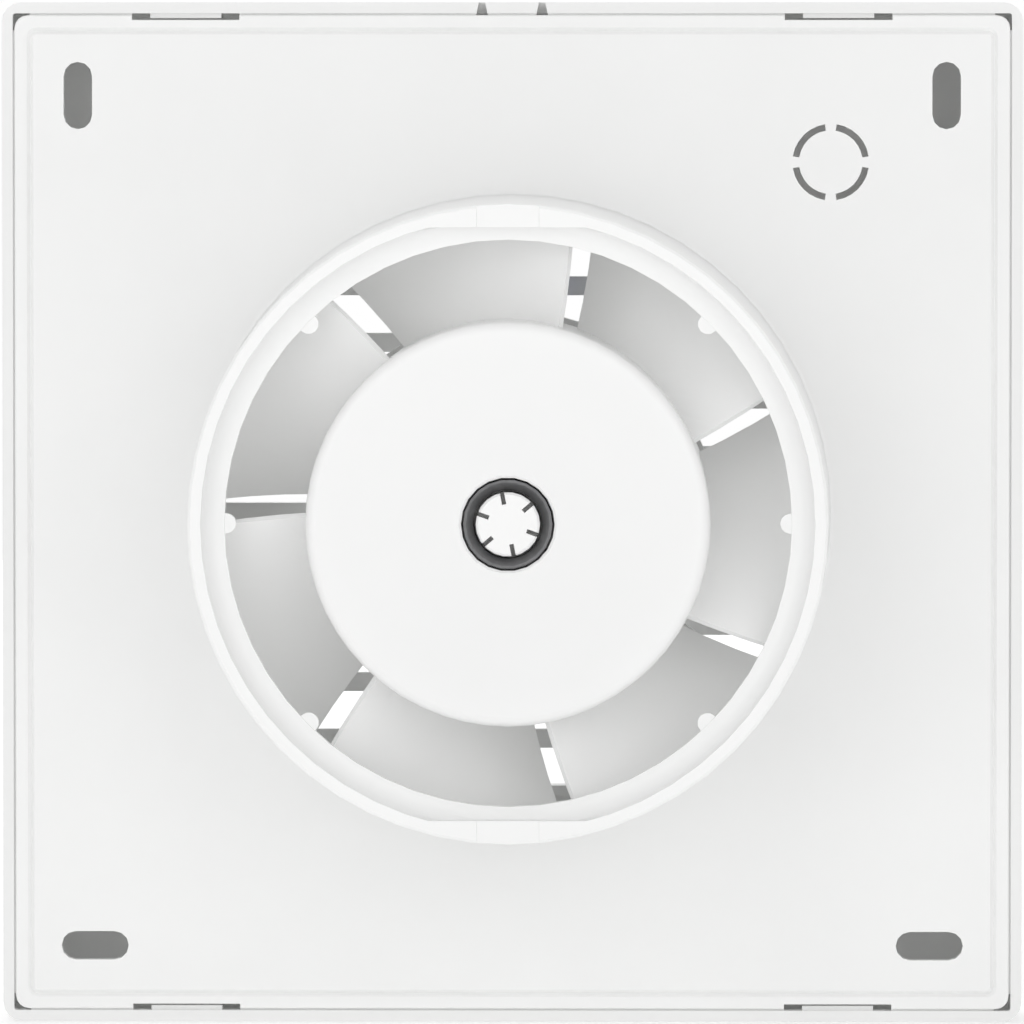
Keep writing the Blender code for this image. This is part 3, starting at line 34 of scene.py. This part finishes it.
# Lamps: each one's place and width in metres, and its power in watts
LAMPS = {
    "left_lamp": ((0.6, 1.5, 0.35), 1, 3.6),
    "right_lamp": ((-0.65, 1.5, 0.25), 1, 3.2),
    "top_lamp": ((0, -0.3, 1.2), 0.6, 1.5),
    "room_lamp": ((0.5, -1.5, 0.8), 1.1, 4.5),
}

# Soft edges, with the angles in degrees
WELD_REACH = 0.002 * MM
EDGE_ANGLE = 34
FLAT_ANGLE = 0.4
EDGE_SEGMENTS = 2
FLAT_WEIGHT = 80

# Colours in linear light
HOUSING_WHITE = (0.9, 0.902, 0.897)
COVER_WHITE = (0.83, 0.832, 0.827)
IMPELLER_WHITE = (0.9, 0.901, 0.897)
NYLON_CREAM = (0.8, 0.78, 0.7)
RING_GREY = (0.155, 0.155, 0.158)
SHAFT_GREY = (0.62, 0.62, 0.63)
SHEET_GREY = (0.33, 0.34, 0.36)
CAST_GREY = (0.7, 0.71, 0.72)
ZINC_GREY = (0.7, 0.7, 0.68)
BRONZE = (0.55, 0.38, 0.2)
BRASS = (0.75, 0.55, 0.25)
COPPER = (0.62, 0.25, 0.1)
LIVE_BROWN = (0.22, 0.09, 0.04)
NEUTRAL_BLUE = (0.05, 0.16, 0.45)

# Plastic and patterns: no light passes the hub's core, and a wave at a scale of 1 repeats at WAVE_LENGTH
HUB_CORE = 5.5 * MM
WAVE_LENGTH = math.tau / 20


class Finish:
    """A Principled material that is put together from a few procedural patterns."""

    def __init__(self, name, colour, roughness, metallic=0):
        self.material = bpy.data.materials.new(name)
        self.material.use_nodes = True
        self.nodes = self.material.node_tree.nodes
        self.links = self.material.node_tree.links
        self.shader = self.nodes["Principled BSDF"]
        self.shader.inputs["Base Color"].default_value = (*colour, 1)
        self.shader.inputs["Roughness"].default_value = roughness
        self.shader.inputs["Metallic"].default_value = metallic
        self.place = self.nodes.new("ShaderNodeTexCoord").outputs["Object"]
        self.height = None

    def noise(self, size, detail=3, stretch=(1, 1, 1)):
        """A cloudy pattern whose spots are about this size, in metres, stretched along an axis."""
        mapping = self.nodes.new("ShaderNodeMapping")
        mapping.inputs["Scale"].default_value = stretch
        self.links.new(self.place, mapping.inputs["Vector"])
        texture = self.nodes.new("ShaderNodeTexNoise")
        texture.inputs["Scale"].default_value = 1 / size
        texture.inputs["Detail"].default_value = detail
        self.links.new(mapping.outputs["Vector"], texture.inputs["Vector"])
        return texture.outputs["Fac"]

    def bands(self, size, direction, distortion=0):
        """Even bands of this width along an axis."""
        texture = self.nodes.new("ShaderNodeTexWave")
        texture.bands_direction = direction
        texture.inputs["Scale"].default_value = WAVE_LENGTH / size
        texture.inputs["Distortion"].default_value = distortion
        self.links.new(self.place, texture.inputs["Vector"])
        return texture.outputs["Fac"]

    def ramp(self, pattern, low, high, start=0.3, end=0.7):
        """Brings a pattern between two values."""
        node = self.nodes.new("ShaderNodeMapRange")
        node.inputs["From Min"].default_value = start
        node.inputs["From Max"].default_value = end
        node.inputs["To Min"].default_value = low
        node.inputs["To Max"].default_value = high
        self.links.new(pattern, node.inputs["Value"])
        return node.outputs["Result"]

    def colours(self, pattern, first, second):
        """Paints the base colour with two colours, shared out by a pattern."""
        node = self.nodes.new("ShaderNodeMix")
        node.data_type = "RGBA"
        node.inputs["A"].default_value = (*first, 1)
        node.inputs["B"].default_value = (*second, 1)
        self.links.new(self.ramp(pattern, 0, 1), node.inputs["Factor"])
        self.links.new(node.outputs["Result"], self.shader.inputs["Base Color"])

    def gloss(self, pattern, low, high):
        """Varies the roughness between two values."""
        self.links.new(self.ramp(pattern, low, high), self.shader.inputs["Roughness"])

    def relief(self, pattern, depth):
        """Adds a fine relief of this depth, in metres, over what is there already."""
        node = self.nodes.new("ShaderNodeBump")
        node.inputs["Strength"].default_value = 1
        node.inputs["Distance"].default_value = depth
        self.links.new(pattern, node.inputs["Height"])
        if self.height is not None:
            self.links.new(self.height, node.inputs["Normal"])
        self.height = node.outputs["Normal"]
        self.links.new(self.height, self.shader.inputs["Normal"])

    def distance(self, across):
        """How far a point lies from the object's origin, in metres, along the axes that are marked with 1."""
        flat = self.nodes.new("ShaderNodeVectorMath")
        flat.operation = "MULTIPLY"
        flat.inputs[1].default_value = across
        self.links.new(self.place, flat.inputs[0])
        length = self.nodes.new("ShaderNodeVectorMath")
        length.operation = "LENGTH"
        self.links.new(flat.outputs["Vector"], length.inputs[0])
        return length.outputs["Value"]

    def let_through(self, share, core):
        """Lets a share of the light pass through a wall to its far side, but not through a thick core."""
        inside = self.nodes.new("ShaderNodeNewGeometry").outputs["Backfacing"]
        sheer = self.nodes.new("ShaderNodeBsdfTranslucent")
        sheer.inputs["Color"].default_value = (1, 1, 1, 1)
        passing = self.nodes.new("ShaderNodeMath")
        passing.operation = "MAXIMUM"
        self.links.new(inside, passing.inputs[0])
        self.links.new(self.ramp(self.distance(FAN_PLANE), 0, share, core, core + MM), passing.inputs[1])
        mix = self.nodes.new("ShaderNodeMixShader")
        self.links.new(passing.outputs["Value"], mix.inputs["Fac"])
        self.links.new(self.shader.outputs["BSDF"], mix.inputs[1])
        self.links.new(sheer.outputs["BSDF"], mix.inputs[2])
        self.links.new(mix.outputs["Shader"], self.nodes["Material Output"].inputs["Surface"])


def shade(colour, share):
    """A colour made lighter or darker by a share of itself."""
    return tuple(min(1.0, channel * share) for channel in colour)


def moulded_plastic(name, colour, roughness, wall_light=0.04, core=0):
    """Injection-moulded plastic, a little translucent: faintly cloudy, finely grained and uneven in gloss."""
    finish = Finish(name, colour, roughness)
    finish.colours(finish.noise(size=35 * MM), shade(colour, 0.985), shade(colour, 1.01))
    finish.gloss(finish.noise(size=4 * MM), low=roughness - 0.03, high=roughness + 0.04)
    finish.relief(finish.noise(size=18 * MM, detail=2), depth=0.02 * MM)
    finish.relief(finish.noise(size=0.35 * MM, detail=4), depth=0.006 * MM)
    finish.let_through(wall_light, core)
    return finish.material


def plated_steel(name, colour, roughness):
    """Plated steel with a faint colour cast and fine handling marks."""
    finish = Finish(name, colour, roughness, metallic=1)
    finish.colours(finish.noise(size=1.5 * MM), shade(colour, 0.88), shade(colour, 1.06))
    finish.gloss(finish.noise(size=0.5 * MM), low=roughness - 0.08, high=roughness + 0.12)
    finish.relief(finish.noise(size=0.2 * MM, detail=5), depth=0.004 * MM)
    return finish.material


def turned_metal(name, colour, roughness):
    """Turned metal with fine tool marks round the fan axis."""
    finish = Finish(name, colour, roughness, metallic=1)
    finish.colours(finish.noise(size=2 * MM), shade(colour, 0.9), shade(colour, 1.05))
    finish.gloss(finish.noise(size=0.6 * MM), low=roughness - 0.06, high=roughness + 0.1)
    marks = finish.noise(size=0.25 * MM, stretch=(0.15, 1, 0.15))
    finish.relief(marks, depth=0.006 * MM)
    return finish.material


def die_cast(name, colour):
    """Die-cast aluminium: matt skin with cold-flow clouds and fine pits."""
    finish = Finish(name, colour, roughness=0.48, metallic=0.9)
    finish.colours(finish.noise(size=5 * MM), shade(colour, 0.82), shade(colour, 1.06))
    finish.gloss(finish.noise(size=1.5 * MM), low=0.4, high=0.62)
    finish.relief(finish.noise(size=0.6 * MM, detail=6), depth=0.03 * MM)
    return finish.material


def laminated_steel(name, colour, sheet=0.5 * MM):
    """A stack of thin steel sheets, seen as fine lines across its sides."""
    finish = Finish(name, colour, roughness=0.5, metallic=0.85)
    edges = finish.bands(sheet, "Y", distortion=0.15)
    finish.colours(edges, shade(colour, 0.6), shade(colour, 1.15))
    finish.gloss(finish.noise(size=1 * MM), low=0.4, high=0.65)
    finish.relief(edges, depth=0.05 * MM)
    finish.relief(finish.noise(size=0.4 * MM, detail=4), depth=0.01 * MM)
    return finish.material


def wound_wire(name, colour, wire=0.3 * MM):
    """Turns of enamelled wire, laid side by side, with painted shade in the grooves between turns and painted
    highlight on their crowns.
    """
    finish = Finish(name, colour, roughness=0.3, metallic=0.75)
    turns = finish.bands(wire, "DIAGONAL", distortion=0.6)
    # Painted shade and highlight: the bands darken the grooves between turns and lighten their crowns
    finish.colours(turns, shade(colour, 0.5), shade(colour, 1.2))
    finish.gloss(finish.noise(size=0.8 * MM), low=0.22, high=0.42)
    finish.relief(turns, depth=0.1 * MM)
    return finish.material


def porous_bronze(name, colour):
    """Sintered bronze with open pores, dark with oil."""
    finish = Finish(name, colour, roughness=0.55, metallic=0.9)
    pores = finish.noise(size=0.25 * MM, detail=5)
    finish.colours(pores, shade(colour, 0.55), shade(colour, 1.1))
    finish.gloss(finish.noise(size=1 * MM), low=0.45, high=0.7)
    finish.relief(pores, depth=0.03 * MM)
    return finish.material


def lead_insulation(name, colour):
    """Soft smooth insulation with faint extrusion marks."""
    finish = Finish(name, colour, roughness=0.42)
    finish.colours(finish.noise(size=6 * MM), shade(colour, 0.88), shade(colour, 1.1))
    finish.gloss(finish.noise(size=1 * MM), low=0.36, high=0.52)
    finish.relief(finish.noise(size=0.5 * MM), depth=0.01 * MM)
    return finish.material


def floor_material():
    """A pale paper floor with a barely visible tooth that glows: painted light, faint near the fan and
    stronger towards its far edges, in place of a lit studio sweep.
    """
    finish = Finish("paper_floor", FLOOR_COLOUR, roughness=0.8)
    finish.colours(finish.noise(size=300 * MM), shade(FLOOR_COLOUR, 0.99), shade(FLOOR_COLOUR, 1.005))
    finish.relief(finish.noise(size=1 * MM, detail=4), depth=0.02 * MM)
    # Painted light: the floor glows, faintly near the fan and more towards its edges
    finish.shader.inputs["Emission Color"].default_value = (1, 1, 1, 1)
    glow = finish.ramp(finish.distance(FLOOR_PLANE), FLOOR_GLOW, FAR_GLOW, GLOW_START, FLOOR_REACH)
    finish.links.new(glow, finish.shader.inputs["Emission Strength"])
    return finish.material


def soften(item, width):
    """Joins the node's triangles into flat faces and rounds its edges."""
    weld = item.modifiers.new("weld", "WELD")
    weld.merge_threshold = WELD_REACH
    flats = item.modifiers.new("flats", "DECIMATE")
    flats.decimate_type = "DISSOLVE"
    flats.angle_limit = math.radians(FLAT_ANGLE)
    edges = item.modifiers.new("edges", "BEVEL")
    edges.width = width
    edges.segments = EDGE_SEGMENTS
    edges.limit_method = "ANGLE"
    edges.angle_limit = math.radians(EDGE_ANGLE)
    edges.miter_outer = "MITER_ARC"
    normals = item.modifiers.new("normals", "WEIGHTED_NORMAL")
    normals.weight = FLAT_WEIGHT


def dress(names, material, edge):
    """Gives CAD nodes a finish and soft edges of this width."""
    for name in names:
        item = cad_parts[name]
        item.data.materials.clear()
        item.data.materials.append(material)
        item.data.shade_smooth()
        soften(item, edge)


def numbered(name, count):
    """The names of a row of like pieces."""
    return [f"{name}_{number}" for number in range(1, count + 1)]


def dress_mouldings():
    """The white mouldings: housing, cover and impeller, with the carrier and cable clamp inside."""
    housing = moulded_plastic("housing_plastic", HOUSING_WHITE, roughness=0.36, wall_light=0.055)
    dress(["housing"], housing, edge=0.18 * MM)
    cover = moulded_plastic("cover_plastic", COVER_WHITE, roughness=0.34, wall_light=0.02)
    dress(["front_cover"], cover, edge=0.18 * MM)
    impeller = moulded_plastic("impeller_plastic", IMPELLER_WHITE, roughness=0.32, core=HUB_CORE)
    dress(["impeller"], impeller, edge=0.15 * MM)
    carrier = moulded_plastic("carrier_plastic", HOUSING_WHITE, roughness=0.4)
    dress(["motor_carrier", "cable_clamp"], carrier, edge=0.2 * MM)


def dress_shaft():
    """The shaft and the dark ring that clamps the hub on it."""
    ring = plated_steel("ring_steel", RING_GREY, roughness=0.42)
    dress(["hub_clamp_ring"], ring, edge=0.12 * MM)
    shaft = turned_metal("shaft_steel", SHAFT_GREY, roughness=0.25)
    dress(["shaft"], shaft, edge=0.08 * MM)


def dress_motor():
    """The motor: its sheet stacks, coils, end brackets and bearings."""
    stacks = laminated_steel("stack_steel", SHEET_GREY)
    dress(["stator_core", "rotor_core"], stacks, edge=0.1 * MM)
    coils = wound_wire("coil_wire", COPPER)
    dress(numbered("coil", 4), coils, edge=0.4 * MM)
    brackets = die_cast("bracket_aluminium", CAST_GREY)
    dress(["front_end_bracket", "rear_end_bracket"], brackets, edge=0.25 * MM)
    bearings = porous_bronze("bearing_bronze", BRONZE)
    dress(["front_bearing", "rear_bearing"], bearings, edge=0.12 * MM)


def dress_nylon():
    """The plain nylon pieces: the thrust washers and the terminal block."""
    nylon = moulded_plastic("natural_nylon", NYLON_CREAM, roughness=0.45)
    dress(["front_thrust_washer", "rear_thrust_washer", "terminal_block"], nylon, edge=0.12 * MM)


def dress_fasteners():
    """Zinc-plated screws, bolts and nuts, and the brass screws of the terminals."""
    zinc = plated_steel("zinc_plate", ZINC_GREY, roughness=0.33)
    screws = numbered("carrier_screw", 3) + numbered("clamp_screw", 2) + ["terminal_fixing_screw"]
    bolts = numbered("motor_bolt", 2) + numbered("motor_nut", 2)
    dress(screws + bolts, zinc, edge=0.12 * MM)
    brass = turned_metal("terminal_brass", BRASS, roughness=0.3)
    dress(numbered("terminal_screw", 2), brass, edge=0.1 * MM)


def dress_leads():
    """The two leads in their colours."""
    live = lead_insulation("live_insulation", LIVE_BROWN)
    dress(["lead_live"], live, edge=0.05 * MM)
    neutral = lead_insulation("neutral_insulation", NEUTRAL_BLUE)
    dress(["lead_neutral"], neutral, edge=0.05 * MM)


def add_floor():
    """The pale floor that the fan stands on."""
    mesh = bmesh.new()
    bmesh.ops.create_grid(mesh, x_segments=1, y_segments=1, size=FLOOR_REACH)
    data = bpy.data.meshes.new("floor")
    mesh.to_mesh(data)
    mesh.free()
    floor = bpy.data.objects.new("floor", data)
    floor.location.z = FLOOR_LEVEL
    data.materials.append(floor_material())
    bpy.context.scene.collection.objects.link(floor)


def sky_strength(nodes, links):
    """The ambient light's strength, which falls off towards the left and right of the fan."""
    direction = nodes.new("ShaderNodeTexCoord").outputs["Generated"]
    parts = nodes.new("ShaderNodeSeparateXYZ")
    links.new(direction, parts.inputs["Vector"])
    square = nodes.new("ShaderNodeMath")
    square.operation = "MULTIPLY"
    links.new(parts.outputs["X"], square.inputs[0])
    links.new(parts.outputs["X"], square.inputs[1])
    fall = nodes.new("ShaderNodeMapRange")
    fall.inputs["To Min"].default_value = AMBIENT
    fall.inputs["To Max"].default_value = AMBIENT * (1 - SIDE_SHADE)
    links.new(square.outputs["Value"], fall.inputs["Value"])
    return fall.outputs["Result"]


def add_world():
    """Even light from all round, seen by the camera and in reflections as plain white."""
    world = bpy.data.worlds.new("studio")
    bpy.context.scene.world = world
    world.use_nodes = True
    nodes = world.node_tree.nodes
    links = world.node_tree.links
    path = nodes.new("ShaderNodeLightPath")
    seen = path.outputs["Is Camera Ray"]
    for output in ("Is Glossy Ray", "Is Transmission Ray"):
        either = nodes.new("ShaderNodeMath")
        either.operation = "MAXIMUM"
        links.new(seen, either.inputs[0])
        links.new(path.outputs[output], either.inputs[1])
        seen = either.outputs["Value"]
    light = nodes.new("ShaderNodeBackground")
    light.inputs["Color"].default_value = (1, 1, 1, 1)
    links.new(sky_strength(nodes, links), light.inputs["Strength"])
    white = nodes.new("ShaderNodeBackground")
    white.inputs["Color"].default_value = (1, 1, 1, 1)
    white.inputs["Strength"].default_value = 1
    mix = nodes.new("ShaderNodeMixShader")
    links.new(seen, mix.inputs["Fac"])
    links.new(light.outputs["Background"], mix.inputs[1])
    links.new(white.outputs["Background"], mix.inputs[2])
    links.new(mix.outputs["Shader"], nodes["World Output"].inputs["Surface"])


def add_soft_box(name, place, size, power):
    """A large square lamp that points at the fan."""
    lamp = bpy.data.lights.new(name, "AREA")
    lamp.size = size
    lamp.energy = power
    item = bpy.data.objects.new(name, lamp)
    item.location = place
    item.rotation_mode = "QUATERNION"
    item.rotation_quaternion = (CAMERA_AIM - Vector(place)).to_track_quat("-Z", "Y")
    bpy.context.scene.collection.objects.link(item)


def add_lamps():
    """Two broad lamps beside the camera, the left one stronger, one overhead and one before the cover."""
    for name, (place, size, power) in LAMPS.items():
        add_soft_box(name, place, size, power)


def add_camera():
    """A long lens that frames the cover as the photograph does."""
    camera = bpy.data.cameras.new("camera")
    camera.sensor_width = SENSOR_WIDTH_MM
    camera.lens = SENSOR_WIDTH_MM * (CAMERA_PLACE - CAMERA_AIM).length / FRAME_WIDTH
    item = bpy.data.objects.new("camera", camera)
    item.location = CAMERA_PLACE
    item.rotation_mode = "QUATERNION"
    item.rotation_quaternion = (CAMERA_AIM - CAMERA_PLACE).to_track_quat("-Z", "Y")
    bpy.context.scene.collection.objects.link(item)
    bpy.context.scene.camera = item


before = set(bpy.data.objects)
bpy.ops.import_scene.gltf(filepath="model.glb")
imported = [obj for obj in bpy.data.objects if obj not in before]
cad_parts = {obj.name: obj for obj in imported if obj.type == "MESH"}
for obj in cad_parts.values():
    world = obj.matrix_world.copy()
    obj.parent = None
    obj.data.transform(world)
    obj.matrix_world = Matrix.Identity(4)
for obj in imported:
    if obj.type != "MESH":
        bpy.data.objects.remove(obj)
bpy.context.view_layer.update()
dress_mouldings()
dress_shaft()
dress_motor()
dress_nylon()
dress_fasteners()
dress_leads()
add_floor()
add_world()
add_lamps()
add_camera()
bpy.context.scene.view_settings.view_transform = "Standard"
bpy.context.scene.cycles.max_bounces = LIGHT_BOUNCES
bpy.context.scene.cycles.diffuse_bounces = LIGHT_BOUNCES
